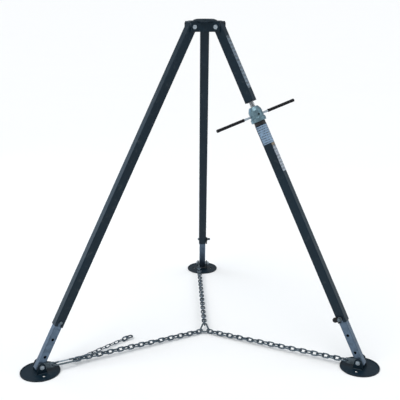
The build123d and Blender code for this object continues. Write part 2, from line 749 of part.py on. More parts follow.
def make_jack_leg():
    place = leg_place("right")
    save("right_upper_tube", [place * upper_tube()])
    save("jack_nut", [place * jack_nut()])
    save("jack_screw", [place * jack_screw()])
    save("jack_hub", [place * jack_hub()])
    save("jack_retaining_ring", [place * retaining_ring()])
    save("jack_thrust_collar", [place * thrust_collar()])
    save("jack_bearing_plug", [place * bearing_plug()])
    save("jack_handle_bar", [bar_place() * handle_bar()])
    save("handle_grip_left", [bar_place() * bar_grip(-1)])
    save("handle_grip_right", [bar_place() * bar_grip(1)])
    save("right_lower_tube", [place * notched_sleeve("right", -LOWER_TUBE_TOP)])
    make_leg("right")


make_head()
make_plain_leg("left")
make_plain_leg("back")
make_jack_leg()
for foot in LEG_AZIMUTH:
    make_foot(foot)
make_chain()
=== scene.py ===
"""The looks of a king-pin tripod stand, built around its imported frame.

Laid out as a Blender add-on: sizes and colours are properties, each group of pieces has an
operator, and the panel in the 3D view's sidebar lists them. Lengths are in metres.
"""

import json
import math

import bmesh
import bpy
import numpy as np
from bpy.props import FloatProperty, FloatVectorProperty, IntProperty, PointerProperty
from mathutils import Euler, Matrix, Vector


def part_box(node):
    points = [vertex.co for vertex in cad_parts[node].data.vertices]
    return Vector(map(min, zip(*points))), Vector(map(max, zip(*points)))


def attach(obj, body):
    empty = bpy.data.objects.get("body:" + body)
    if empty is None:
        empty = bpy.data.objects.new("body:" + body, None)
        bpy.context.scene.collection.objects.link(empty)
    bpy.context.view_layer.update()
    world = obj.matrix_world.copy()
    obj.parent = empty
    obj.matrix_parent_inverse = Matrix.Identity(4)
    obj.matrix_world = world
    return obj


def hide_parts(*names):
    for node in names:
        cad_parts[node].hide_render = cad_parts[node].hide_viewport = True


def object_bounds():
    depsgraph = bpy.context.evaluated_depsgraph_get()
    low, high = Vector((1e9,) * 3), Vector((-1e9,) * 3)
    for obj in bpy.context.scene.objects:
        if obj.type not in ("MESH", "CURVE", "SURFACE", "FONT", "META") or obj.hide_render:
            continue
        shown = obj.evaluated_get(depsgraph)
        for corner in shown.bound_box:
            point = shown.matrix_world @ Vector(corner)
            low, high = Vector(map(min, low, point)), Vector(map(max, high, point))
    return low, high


bl_info = {
    "name": "King Pin Tripod Stand",
    "version": (1, 0, 0),
    "blender": (4, 5, 0),
    "location": "View3D > Sidebar > Stand",
    "description": "Finishes, chains, thread, grips, labels and welds of a king-pin tripod stand",
    "category": "Object",
}

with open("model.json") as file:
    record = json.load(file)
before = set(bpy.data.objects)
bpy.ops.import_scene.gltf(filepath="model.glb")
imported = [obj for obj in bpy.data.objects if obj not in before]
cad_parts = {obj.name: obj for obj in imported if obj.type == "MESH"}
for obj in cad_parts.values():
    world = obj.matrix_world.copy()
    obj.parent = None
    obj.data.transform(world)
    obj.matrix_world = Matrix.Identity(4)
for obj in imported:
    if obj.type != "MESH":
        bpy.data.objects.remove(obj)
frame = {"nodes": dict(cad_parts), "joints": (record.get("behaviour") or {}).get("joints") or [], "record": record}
CAD_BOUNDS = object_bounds()
RECORD = frame["record"]
JOINTS = {joint["name"]: joint for joint in frame["joints"]}
NODE_SLOT = {part["node"]: part["material_slot"] for part in RECORD["subparts"]}
NODE_BODY = {node: body for body, nodes in RECORD["behaviour"]["bodies"].items() for node in nodes}
MM = 0.001
GROUND = CAD_BOUNDS[0][2]


# ---- properties ----
class StandColours(bpy.types.PropertyGroup):
    """Colours of the stand's finishes."""

    coat: FloatVectorProperty(
        name="Powder coat", description="Blue-black coat on the tubes, head and feet",
        subtype="COLOR", size=3, min=0.0, max=1.0, default=(0.004, 0.015, 0.026))
    # Painted shade: a near-black colour painted on the coat's rounded corners, standing in for the shade that
    # falls there.
    painted_edge_shade: FloatVectorProperty(
        name="Painted edge shade", description="Near-black painted shade on the coat's corners",
        subtype="COLOR", size=3, min=0.0, max=1.0, default=(0.003, 0.005, 0.007))
    tube_zinc: FloatVectorProperty(
        name="Tube zinc", description="Plating on the inner tubes",
        subtype="COLOR", size=3, min=0.0, max=1.0, default=(0.110, 0.160, 0.225))
    bright_zinc: FloatVectorProperty(
        name="Bright zinc", description="Plating on the bolts, the nuts and the handle bar",
        subtype="COLOR", size=3, min=0.0, max=1.0, default=(0.400, 0.470, 0.530))
    hub_zinc: FloatVectorProperty(
        name="Hub zinc", description="Plating on the jack's hub",
        subtype="COLOR", size=3, min=0.0, max=1.0, default=(0.165, 0.262, 0.312))
    dull_zinc: FloatVectorProperty(
        name="Dull zinc", description="Weathered plating on the lugs, lock pins, snap hook and ring",
        subtype="COLOR", size=3, min=0.0, max=1.0, default=(0.130, 0.165, 0.190))
    chain_zinc: FloatVectorProperty(
        name="Chain zinc", description="Plating on the chains",
        subtype="COLOR", size=3, min=0.0, max=1.0, default=(0.085, 0.115, 0.142))
    rubber: FloatVectorProperty(
        name="Rubber", description="Handle grips and pin grips",
        subtype="COLOR", size=3, min=0.0, max=1.0, default=(0.006, 0.007, 0.009))
    label_blue: FloatVectorProperty(
        name="Blue label", description="The label on the lower tube's side",
        subtype="COLOR", size=3, min=0.0, max=1.0, default=(0.190, 0.300, 0.440))
    label_grey: FloatVectorProperty(
        name="Grey label", description="The long label on the upper tube",
        subtype="COLOR", size=3, min=0.0, max=1.0, default=(0.135, 0.185, 0.240))
    label_silver: FloatVectorProperty(
        name="Silver strip", description="The strip on the lower tube's outer face",
        subtype="COLOR", size=3, min=0.0, max=1.0, default=(0.300, 0.340, 0.400))
    label_ochre: FloatVectorProperty(
        name="Ochre patch", description="The small patch above the silver strip",
        subtype="COLOR", size=3, min=0.0, max=1.0, default=(0.170, 0.120, 0.055))
    floor: FloatVectorProperty(
        name="Floor", description="Colour of the floor and the backdrop",
        subtype="COLOR", size=3, min=0.0, max=1.0, default=(0.93, 0.94, 0.95))


class StandSizes(bpy.types.PropertyGroup):
    """Sizes of the details that the frame leaves to the looks."""

    thread_depth: FloatProperty(
        name="Thread depth", description="Depth of the jack screw's thread",
        unit="LENGTH", min=0.0005, max=0.004, default=0.0019)
    thread_lead: FloatProperty(
        name="Thread lead", description="Travel of the jack for each turn of its handle",
        unit="LENGTH", min=0.002, max=0.010, default=0.00508)
    label_thickness: FloatProperty(
        name="Label thickness", description="How far a label stands off its tube",
        unit="LENGTH", min=0.0001, max=0.001, default=0.00025)
    label_width: FloatProperty(
        name="Label width", description="Width of the labels across a tube's face",
        unit="LENGTH", min=0.005, max=0.028, default=0.0215)
    grip_ribs: IntProperty(
        name="Grip ribs", description="Rings moulded round each handle grip",
        min=0, max=40, default=17)
    rib_depth: FloatProperty(
        name="Rib depth", description="Depth of the grooves between a grip's rings",
        unit="LENGTH", min=0.0, max=0.002, default=0.0006)
    weld_radius: FloatProperty(
        name="Weld size", description="Radius of a weld bead",
        unit="LENGTH", min=0.0005, max=0.004, default=0.0016)
    link_roll: FloatProperty(
        name="Link roll", description="How far each link turns from its neighbours' square",
        subtype="ANGLE", min=0.0, max=0.4, default=0.16)
    link_twist: FloatProperty(
        name="Link twist", description="Twist from one end of a link to the other",
        subtype="ANGLE", min=0.0, max=0.8, default=0.30)


# ---- places, read from the frame ----
def leg_frame(name):
    """x out of the leg's outer face, y round the stand, z up the leg, origin at its head bolt."""
    fold = JOINTS[f"{name}_leg_fold"]
    up = -Vector(JOINTS[f"{name}_leg_extension"]["axis"]).normalized()
    across = Vector(fold["axis"]).normalized()
    out = across.cross(up)
    turn = Matrix((out, across, up)).transposed().to_4x4()
    return Matrix.Translation(Vector(fold["pos_m"])) @ turn


def foot_frame(name):
    """x away from the stand, y round it, z up, origin at the foot bolt."""
    tilt = JOINTS[f"{name}_foot_tilt"]
    across = Vector(tilt["axis"]).normalized()
    up = Vector((0, 0, 1))
    turn = Matrix((across.cross(up), across, up)).transposed().to_4x4()
    return Matrix.Translation(Vector(tilt["pos_m"])) @ turn


def node_span(node, placement):
    """A CAD node's lowest and highest corners in another frame."""
    back = placement.inverted()
    points = np.array([back @ vertex.co for vertex in frame["nodes"][node].data.vertices])
    return Vector(points.min(0)), Vector(points.max(0))


def node_solids(node):
    """The corner points of each separate solid in a CAD node."""
    work = bmesh.new()
    work.from_mesh(frame["nodes"][node].data)
    bmesh.ops.remove_doubles(work, verts=work.verts, dist=1e-6)
    seen, solids = set(), []
    for first in work.verts:
        if first in seen:
            continue
        found, queue = [], [first]
        seen.add(first)
        while queue:
            vertex = queue.pop()
            found.append(tuple(vertex.co))
            for edge in vertex.link_edges:
                other = edge.other_vert(vertex)
                if other not in seen:
                    seen.add(other)
                    queue.append(other)
        solids.append(np.array(found))
    work.free()
    return solids


# ---- modelling steps ----
def deselect():
    bpy.ops.object.select_all(action="DESELECT")


def pick(piece):
    deselect()
    piece.select_set(True)
    bpy.context.view_layer.objects.active = piece


def edit(piece):
    pick(piece)
    bpy.ops.object.mode_set(mode="EDIT")
    bpy.ops.mesh.select_mode(type="VERT")
    bpy.ops.mesh.select_all(action="DESELECT")


def leave_edit():
    bpy.ops.object.mode_set(mode="OBJECT")


def choose_vertices(piece, test):
    """Selects the vertices that pass a test, from edit mode."""
    work = bmesh.from_edit_mesh(piece.data)
    for vertex in work.verts:
        vertex.select_set(test(vertex.co))
    work.select_flush(True)
    bmesh.update_edit_mesh(piece.data)


def named(name):
    piece = bpy.context.active_object
    piece.name = name
    piece.data.name = name
    return piece


def settle(piece, placement):
    """Puts a piece's place into its mesh, so that its object stays at the origin."""
    piece.data.transform(placement @ piece.matrix_world)
    piece.matrix_world = Matrix.Identity(4)
    return piece


def face_outwards(piece):
    edit(piece)
    bpy.ops.mesh.select_all(action="SELECT")
    bpy.ops.mesh.remove_doubles(threshold=1e-6)
    bpy.ops.mesh.normals_make_consistent(inside=False)
    leave_edit()


def soften(piece, degrees=40):
    pick(piece)
    bpy.ops.object.shade_smooth_by_angle(angle=math.radians(degrees))


def join(pieces, name):
    deselect()
    for piece in pieces:
        piece.select_set(True)
    bpy.context.view_layer.objects.active = pieces[0]
    if len(pieces) > 1:
        bpy.ops.object.join()
    return named(name)


def copy_of(piece, placement, name):
    twin = piece.copy()
    twin.data = piece.data.copy()
    twin.name = name
    bpy.context.scene.collection.objects.link(twin)
    return settle(twin, placement)


def discard(piece):
    bpy.data.objects.remove(piece)


def outline(points, name):
    """A line of edges through (radius, height) points in the xz plane."""
    bpy.ops.mesh.primitive_plane_add(size=MM)
    piece = named(name)
    edit(piece)
    bpy.ops.mesh.select_all(action="SELECT")
    bpy.ops.mesh.merge(type="CENTER")
    bpy.ops.transform.translate(value=(points[0][0], 0, points[0][1]))
    for (x, z), (next_x, next_z) in zip(points, points[1:]):
        step = (next_x - x, 0, next_z - z)
        bpy.ops.mesh.extrude_vertices_move(TRANSFORM_OT_translate={"value": step})
    leave_edit()
    return piece


def turn_outline(points, name, steps=40):
    """A round piece about z, spun from a closed or end-to-axis outline."""
    piece = outline(points, name)
    edit(piece)
    bpy.ops.mesh.select_all(action="SELECT")
    bpy.ops.mesh.spin(steps=steps, angle=2 * math.pi, center=(0, 0, 0), axis=(0, 0, 1))
    leave_edit()
    face_outwards(piece)
    return piece


def finish_piece(piece, body, slot, material, *nodes):
    """Material and body of a finished piece, and the CAD nodes that it stands for; the slot is not used."""
    piece.data.materials.clear()
    piece.data.materials.append(material)
    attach(piece, body)
    if nodes:
        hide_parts(*nodes)


# ---- shader node groups ----
def new_group(name, inputs, outputs):
    group = bpy.data.node_groups.new(name, "ShaderNodeTree")
    for label, value in inputs:
        socket = group.interface.new_socket(label, in_out="INPUT", socket_type="NodeSocketFloat")
        socket.default_value = value
    for label in outputs:
        group.interface.new_socket(label, in_out="OUTPUT", socket_type="NodeSocketFloat")
    return group, group.nodes.new("NodeGroupInput"), group.nodes.new("NodeGroupOutput")


def math_node(tree, operation, first, second=None, clamp=False):
    node = tree.nodes.new("ShaderNodeMath")
    node.operation = operation
    node.use_clamp = clamp
    for index, value in enumerate((first, second)):
        if value is None:
            continue
        if isinstance(value, (int, float)):
            node.inputs[index].default_value = value
        else:
            tree.links.new(value, node.inputs[index])
    return node.outputs[0]


def noise_node(tree, vector, scale, detail=3.0, roughness=0.55):
    node = tree.nodes.new("ShaderNodeTexNoise")
    node.inputs["Detail"].default_value = detail
    node.inputs["Roughness"].default_value = roughness
    if isinstance(scale, (int, float)):
        node.inputs["Scale"].default_value = scale
    else:
        tree.links.new(scale, node.inputs["Scale"])
    tree.links.new(vector, node.inputs["Vector"])
    return node.outputs["Fac"]


def object_place(tree):
    return tree.nodes.new("ShaderNodeTexCoord").outputs["Object"]


def edge_wear_and_shade_group():
    """A mask that is 1 on the corners of a shape, broken up by noise; it marks wear, and painted shade on the
    powder coat.
    """
    inputs = (("Width", 0.0015), ("Gain", 6.0), ("Break Up", 0.5), ("Scale", 120.0))
    group, given, result = new_group("Edge Wear And Shade", inputs, ("Mask",))
    bevel = group.nodes.new("ShaderNodeBevel")
    bevel.samples = 6
    group.links.new(given.outputs["Width"], bevel.inputs["Radius"])
    flat = group.nodes.new("ShaderNodeNewGeometry")
    dot = group.nodes.new("ShaderNodeVectorMath")
    dot.operation = "DOT_PRODUCT"
    group.links.new(bevel.outputs["Normal"], dot.inputs[0])
    group.links.new(flat.outputs["Normal"], dot.inputs[1])
    bent = math_node(group, "SUBTRACT", 1.0, dot.outputs["Value"])
    strong = math_node(group, "MULTIPLY", bent, given.outputs["Gain"], clamp=True)
    noise = noise_node(group, object_place(group), given.outputs["Scale"])
    spread = math_node(group, "MULTIPLY", noise, given.outputs["Break Up"])
    kept = math_node(group, "SUBTRACT", 1.0, spread)
    mask = math_node(group, "MULTIPLY", strong, kept, clamp=True)
    group.links.new(mask, result.inputs["Mask"])
    return group


def print_rows_group():
    """Broken rows of dashes across a label, given its own place with z along the rows' stack."""
    group = bpy.data.node_groups.new("Print Rows", "ShaderNodeTree")
    for label, kind in (("Place", "NodeSocketVector"), ("Row", "NodeSocketFloat")):
        group.interface.new_socket(label, in_out="INPUT", socket_type=kind)
    group.interface.new_socket("Ink", in_out="OUTPUT", socket_type="NodeSocketFloat")
    given, result = group.nodes.new("NodeGroupInput"), group.nodes.new("NodeGroupOutput")
    split = group.nodes.new("ShaderNodeSeparateXYZ")
    group.links.new(given.outputs["Place"], split.inputs["Vector"])
    rows = math_node(group, "DIVIDE", split.outputs["Z"], given.outputs["Row"])
    part = math_node(group, "FRACT", rows)
    line = math_node(group, "GREATER_THAN", part, 0.45)
    number = math_node(group, "FLOOR", rows)
    along = math_node(group, "ADD", split.outputs["X"], split.outputs["Y"])
    stretched = math_node(group, "MULTIPLY", along, 420.0)
    shift = math_node(group, "MULTIPLY", number, 7.3)
    spot = group.nodes.new("ShaderNodeCombineXYZ")
    group.links.new(stretched, spot.inputs["X"])
    group.links.new(shift, spot.inputs["Y"])
    broken = noise_node(group, spot.outputs["Vector"], 1.0, detail=2.0)
    dashes = math_node(group, "GREATER_THAN", broken, 0.47)
    ink = math_node(group, "MULTIPLY", line, dashes)
    group.links.new(ink, result.inputs["Ink"])
    return group


def grain_group():
    """Fine height and slow variation of a cast, coated or moulded surface."""
    inputs = (("Fine Scale", 900.0), ("Slow Scale", 14.0), ("Dust Scale", 60.0))
    group, given, result = new_group("Surface Grain", inputs, ("Height", "Variation", "Dust"))
    place = object_place(group)
    fine = noise_node(group, place, given.outputs["Fine Scale"], detail=2.0)
    slow = noise_node(group, place, given.outputs["Slow Scale"], detail=4.0)
    dust = noise_node(group, place, given.outputs["Dust Scale"], detail=6.0, roughness=0.7)
    low = math_node(group, "SUBTRACT", dust, 0.56)
    specks = math_node(group, "MULTIPLY", low, 7.0, clamp=True)
    group.links.new(fine, result.inputs["Height"])
    group.links.new(slow, result.inputs["Variation"])
    group.links.new(specks, result.inputs["Dust"])
    return group


def spangle_group():
    """The crystal patches and fine scratches of zinc plate."""
    inputs = (("Patch Scale", 220.0), ("Scratch Scale", 900.0))
    group, given, result = new_group("Zinc Spangle", inputs, ("Patches", "Scratches"))
    place = object_place(group)
    cells = group.nodes.new("ShaderNodeTexVoronoi")
    group.links.new(place, cells.inputs["Vector"])
    group.links.new(given.outputs["Patch Scale"], cells.inputs["Scale"])
    grey = group.nodes.new("ShaderNodeRGBToBW")
    group.links.new(cells.outputs["Color"], grey.inputs["Color"])
    squeeze = group.nodes.new("ShaderNodeMapping")
    squeeze.inputs["Scale"].default_value = (1.0, 1.0, 0.06)
    group.links.new(place, squeeze.inputs["Vector"])
    lines = noise_node(group, squeeze.outputs["Vector"], given.outputs["Scratch Scale"], detail=4.0)
    group.links.new(grey.outputs["Val"], result.inputs["Patches"])
    group.links.new(lines, result.inputs["Scratches"])
    return group


# ---- materials ----
class Finish:
    """One material while it is being put together."""

    def __init__(self, name):
        self.material = bpy.data.materials.new(name)
        self.material.use_nodes = True
        self.tree = self.material.node_tree
        self.shader = self.tree.nodes["Principled BSDF"]

    def group(self, kind, **values):
        node = self.tree.nodes.new("ShaderNodeGroup")
        node.node_tree = bpy.data.node_groups[kind]
        for label, value in values.items():
            node.inputs[label.replace("_", " ")].default_value = value
        return node

    def mix(self, mask, first, second):
        """A colour from first, where the mask is 0, to second, where it is 1."""
        node = self.tree.nodes.new("ShaderNodeMix")
        node.data_type = "RGBA"
        self.feed(mask, node.inputs[0])
        for value, socket in ((first, node.inputs[6]), (second, node.inputs[7])):
            self.feed(value, socket)
        return node.outputs[2]

    def feed(self, value, socket):
        if isinstance(value, bpy.types.NodeSocket):
            self.tree.links.new(value, socket)
        elif isinstance(value, (int, float)):
            socket.default_value = value
        else:
            socket.default_value = (*value, 1.0)

    def ramp(self, value, low, high):
        node = self.tree.nodes.new("ShaderNodeMapRange")
        self.tree.links.new(value, node.inputs["Value"])
        node.inputs["To Min"].default_value = low
        node.inputs["To Max"].default_value = high
        return node.outputs["Result"]

    def bump(self, height, distance, strength):
        node = self.tree.nodes.new("ShaderNodeBump")
        node.inputs["Distance"].default_value = distance
        node.inputs["Strength"].default_value = strength
        self.tree.links.new(height, node.inputs["Height"])
        self.tree.links.new(node.outputs["Normal"], self.shader.inputs["Normal"])

    def set(self, **values):
        for label, value in values.items():
            self.feed(value, self.shader.inputs[label.replace("_", " ")])
        return self.material


def shade(colour, factor):
    return tuple(min(1.0, channel * factor) for channel in colour)


def powder_coat(colours):
    """Blue-black coat: a slight orange peel, painted dark shade on the corners, chips and a little dust."""
    make = Finish("Powder Coat")
    grain = make.group("Surface Grain", Fine_Scale=620.0, Slow_Scale=9.0, Dust_Scale=45.0)
    # Painted shade: this mask darkens the coat's rounded corners towards near-black.
    edges = make.group("Edge Wear And Shade", Width=0.0026, Gain=5.0, Break_Up=0.25, Scale=60.0)
    chips = make.group("Edge Wear And Shade", Width=0.0009, Gain=9.0, Break_Up=2.6, Scale=210.0)
    base = make.mix(grain.outputs["Variation"], shade(colours.coat, 0.72), shade(colours.coat, 1.35))
    dusty = math_node(make.tree, "MULTIPLY", grain.outputs["Dust"], 0.10)
    base = make.mix(dusty, base, (0.20, 0.22, 0.23))
    # painted shade on the corners; the chips on the next line are wear
    base = make.mix(edges.outputs["Mask"], base, colours.painted_edge_shade)
    base = make.mix(chips.outputs["Mask"], base, (0.16, 0.18, 0.19))
    make.bump(grain.outputs["Height"], 0.00012, 0.5)
    rough = make.ramp(grain.outputs["Variation"], 0.34, 0.52)
    return make.set(Base_Color=base, Roughness=rough, Specular_IOR_Level=0.2)


def zinc(name, colour, rough=(0.28, 0.46), patch=220.0, spread=(0.75, 1.25)):
    """Plated steel: crystal patches, drawn scratches and brighter rubbed corners."""
    make = Finish(name)
    spangle = make.group("Zinc Spangle", Patch_Scale=patch, Scratch_Scale=700.0)
    grain = make.group("Surface Grain", Fine_Scale=1400.0, Slow_Scale=22.0, Dust_Scale=90.0)
    edges = make.group("Edge Wear And Shade", Width=0.0008, Gain=6.0, Break_Up=0.8, Scale=300.0)
    base = make.mix(spangle.outputs["Patches"], shade(colour, spread[0]), shade(colour, spread[1]))
    cloudy = make.ramp(grain.outputs["Variation"], 0.0, 0.55)
    base = make.mix(cloudy, base, shade(colour, 0.62))
    base = make.mix(edges.outputs["Mask"], base, shade(colour, 1.7))
    make.bump(spangle.outputs["Scratches"], 0.00006, 0.5)
    rubbed = make.ramp(spangle.outputs["Scratches"], *rough)
    return make.set(Base_Color=base, Roughness=rubbed, Metallic=0.85)


def black_oxide():
    make = Finish("Black Oxide")
    grain = make.group("Surface Grain", Fine_Scale=1200.0, Slow_Scale=40.0, Dust_Scale=120.0)
    edges = make.group("Edge Wear And Shade", Width=0.0008, Gain=7.0, Break_Up=1.0, Scale=260.0)
    base = make.mix(grain.outputs["Variation"], (0.008, 0.009, 0.011), (0.030, 0.032, 0.036))
    base = make.mix(edges.outputs["Mask"], base, (0.14, 0.15, 0.16))
    make.bump(grain.outputs["Height"], 0.00008, 0.5)
    return make.set(Base_Color=base, Roughness=0.42, Metallic=0.4)


def rubber(name, colours, rough=(0.55, 0.8)):
    make = Finish(name)
    grain = make.group("Surface Grain", Fine_Scale=1500.0, Slow_Scale=30.0, Dust_Scale=80.0)
    base = make.mix(grain.outputs["Variation"], shade(colours.rubber, 0.7), shade(colours.rubber, 1.5))
    dusty = math_node(make.tree, "MULTIPLY", grain.outputs["Dust"], 0.06)
    base = make.mix(dusty, base, (0.10, 0.10, 0.10))
    make.bump(grain.outputs["Height"], 0.00015, 0.6)
    roughness = make.ramp(grain.outputs["Variation"], *rough)
    return make.set(Base_Color=base, Roughness=roughness, Specular_IOR_Level=0.2)


def label_stock(name, colour, row, ink=0.3):
    """Film with rows of plain dashes, faint wrinkles, scuffed edges and a thin clear coat."""
    make = Finish(name)
    place = make.tree.nodes.new("ShaderNodeMapping")
    back = leg_frame("right").inverted()
    place.inputs["Rotation"].default_value = back.to_euler()
    make.tree.links.new(object_place(make.tree), place.inputs["Vector"])
    rows = make.group("Print Rows", Row=row)
    make.tree.links.new(place.outputs["Vector"], rows.inputs["Place"])
    grain = make.group("Surface Grain", Fine_Scale=500.0, Slow_Scale=60.0, Dust_Scale=150.0)
    edges = make.group("Edge Wear And Shade", Width=0.0009, Gain=5.0, Break_Up=0.6, Scale=320.0)
    base = make.mix(grain.outputs["Variation"], shade(colour, 0.86), shade(colour, 1.14))
    base = make.mix(rows.outputs["Ink"], base, shade(colour, ink))
    scuffed = math_node(make.tree, "MULTIPLY", grain.outputs["Dust"], 0.35)
    base = make.mix(scuffed, base, shade(colour, 0.6))
    base = make.mix(edges.outputs["Mask"], base, shade(colour, 1.5))
    make.bump(grain.outputs["Height"], 0.00004, 0.5)
    return make.set(Base_Color=base, Roughness=0.38, Coat_Weight=0.25)


def weld_steel(colours):
    """Coated weld metal, with a coarser surface than the tubes."""
    make = Finish("Coated Weld")
    grain = make.group("Surface Grain", Fine_Scale=700.0, Slow_Scale=120.0, Dust_Scale=200.0)
    base = make.mix(grain.outputs["Variation"], shade(colours.coat, 0.6), shade(colours.coat, 1.8))
    make.bump(grain.outputs["Height"], 0.0003, 0.8)
    return make.set(Base_Color=base, Roughness=0.5)


def floor_finish(colours):
    make = Finish("Pale Floor")
    grain = make.group("Surface Grain", Fine_Scale=200.0, Slow_Scale=1.5, Dust_Scale=20.0)
    base = make.mix(grain.outputs["Variation"], shade(colours.floor, 0.985), colours.floor)
    return make.set(Base_Color=base, Roughness=0.9, Specular_IOR_Level=0.1)


def build_materials(colours):
    edge_wear_and_shade_group()
    print_rows_group()
    grain_group()
    spangle_group()
    return {
        "powder_coat": powder_coat(colours),
        "tube_zinc": zinc("Tube Zinc", colours.tube_zinc, rough=(0.30, 0.5), patch=90.0),
        "bright_zinc": zinc("Bright Zinc", colours.bright_zinc),
        "hub_zinc": zinc("Hub Zinc", colours.hub_zinc, rough=(0.32, 0.52), patch=260.0),
        "screw_steel": zinc("Screw Steel", (0.36, 0.38, 0.40), rough=(0.22, 0.4), patch=400.0),
        "chain_zinc": zinc("Chain Zinc", colours.chain_zinc, rough=(0.3, 0.55), spread=(0.5, 1.9)),
        "dull_zinc": zinc("Dull Zinc", colours.dull_zinc, rough=(0.35, 0.6), spread=(0.7, 1.4)),
        "grip_rubber": rubber("Grip Rubber", colours),
        "pin_vinyl": rubber("Pin Vinyl", colours, rough=(0.25, 0.4)),
        "black_oxide": black_oxide(),
        "weld": weld_steel(colours),
        "label_blue": label_stock("Blue Label", colours.label_blue, 0.0075),
        "label_grey": label_stock("Grey Label", colours.label_grey, 0.0130),
        "label_silver": label_stock("Silver Strip", colours.label_silver, 0.0110),
        "label_ochre": label_stock("Ochre Patch", colours.label_ochre, 0.0030, ink=0.7),
        "floor": floor_finish(colours),
    }


MATERIALS = {}

DULL_NODES = ("snap_hook", "delta_ring")
DULL_ENDINGS = ("_lug", "_lock_pin")
WELD_SWELL = 1.16
LINK_ROUND_STEPS = 24
LINK_WIRE_STEPS = 10
SCREW_STEPS = 28
BURIED = 0.02 * MM

# name, body, and the top and bottom of each flat label below the right leg's head bolt
FLAT_LABELS = (
    ("label_grey", "right_leg", 0.0377, 0.2151),
    ("label_ochre", "right_jack_leg", 0.4030, 0.4120),
    ("label_silver", "right_jack_leg", 0.4130, 0.5009),
)
WRAPPED_LABEL_TOP = 0.3407
WRAPPED_LABEL_BOTTOM = 0.4022
TUBE_CORNER = 3.6 * MM

FLOOR_SIDE = 1200.0
WORLD_LIGHT = 0.42
WORLD_SEEN = 1.0
CAMERA_PLACE = (-0.0407, -2.3562, 1.1543)
CAMERA_FORWARD = (0.0101, 0.9617, -0.2740)
CAMERA_LENS = 64.3


# ---- operators ----
class STAND_OT_finishes(bpy.types.Operator):
    """Build the materials and put one on every CAD node"""

    bl_idname = "stand.finishes"
    bl_label = "Finishes"

    def execute(self, context):
        MATERIALS.update(build_materials(context.scene.stand_colours))
        for node, piece in frame["nodes"].items():
            dull = node.endswith(DULL_ENDINGS) or node in DULL_NODES
            material = MATERIALS["dull_zinc" if dull else NODE_SLOT[node]]
            if not piece.material_slots:
                piece.data.materials.append(material)
            for slot in piece.material_slots:
                slot.material = material
        return {"FINISHED"}


def chain_link(length, width, thickness, twist):
    """One oval link in xy with a weld bulge on one side, twisted a little along x."""
    wire = thickness / 2
    bend = width / 2 - wire
    deselect()
    bpy.ops.mesh.primitive_torus_add(
        major_radius=bend, minor_radius=wire,
        major_segments=LINK_ROUND_STEPS, minor_segments=LINK_WIRE_STEPS)
    link = named("link")
    straight = length / 2 - wire - bend
    middle = 0.1 * wire
    for side in (-1, 1):
        edit(link)
        choose_vertices(link, lambda co: side * co.x > middle)
        bpy.ops.transform.translate(value=(side * straight, 0, 0))
        leave_edit()
    edit(link)
    choose_vertices(link, lambda co: abs(co.x) < middle and co.y > 0)
    bpy.ops.transform.resize(
        value=(1, WELD_SWELL, WELD_SWELL), center_override=(0, bend, 0))
    leave_edit()
    for vertex in link.data.vertices:
        turn = Matrix.Rotation(twist * vertex.co.x / length, 3, "X")
        vertex.co = turn @ vertex.co
    return link


def link_placement(points, index, roll):
    """Where a link lies: x along its length and z through its flat, from its own points."""
    middle = (points.max(0) + points.min(0)) / 2
    centred = points - points.mean(0)
    _, _, axes = np.linalg.svd(centred, full_matrices=False)
    along, flat = Vector(axes[0]), Vector(axes[2])
    if along.x + 0.5 * along.y < 0:
        along = -along
    if flat.z + 0.5 * flat.y < 0:
        flat = -flat
    side = flat.cross(along)
    turn = Matrix((along, side, flat)).transposed().to_4x4()
    lean = roll * math.sin(2.4 * index) * (0.6 + 0.4 * math.sin(5.1 * index))
    return Matrix.Translation(Vector(middle)) @ turn @ Matrix.Rotation(lean, 4, "X")


class STAND_OT_chains(bpy.types.Operator):
    """Model one welded link and hang a copy of it in every link's place"""

    bl_idname = "stand.chains"
    bl_label = "Chains"

    def execute(self, context):
        sizes = context.scene.stand_sizes
        chain_nodes = [node for node, slot in NODE_SLOT.items() if slot == "chain_zinc"]
        links = {}
        for node in chain_nodes:
            copies = []
            solids = node_solids(node)
            lowest = min(points.min(0)[2] for points in solids)
            for index, points in enumerate(solids):
                size = self.link_size(points)
                if size not in links:
                    links[size] = chain_link(*(value * MM / 2 for value in size), sizes.link_twist)
                placement = link_placement(points, index, sizes.link_roll)
                link = copy_of(links[size], placement, f"{node}_link_{index}")
                # a rolled link may dip lower than its chain does, so it is lifted back
                dip = lowest - min(vertex.co.z for vertex in link.data.vertices)
                if dip > 0:
                    link.data.transform(Matrix.Translation((0, 0, dip)))
                copies.append(link)
            chain = join(copies, f"{node}_links")
            soften(chain, 60)
            finish_piece(chain, NODE_BODY[node], "chain_zinc", MATERIALS["chain_zinc"], node)
        for link in links.values():
            discard(link)
        return {"FINISHED"}

    @staticmethod
    def link_size(points):
        """Length, width and wire diameter of a link, in whole half millimetres."""
        back = link_placement(points, 0, 0.0).inverted()
        local = np.array([back @ Vector(point) for point in points])
        return tuple(round(2 * value / MM) for value in local.max(0) - local.min(0))


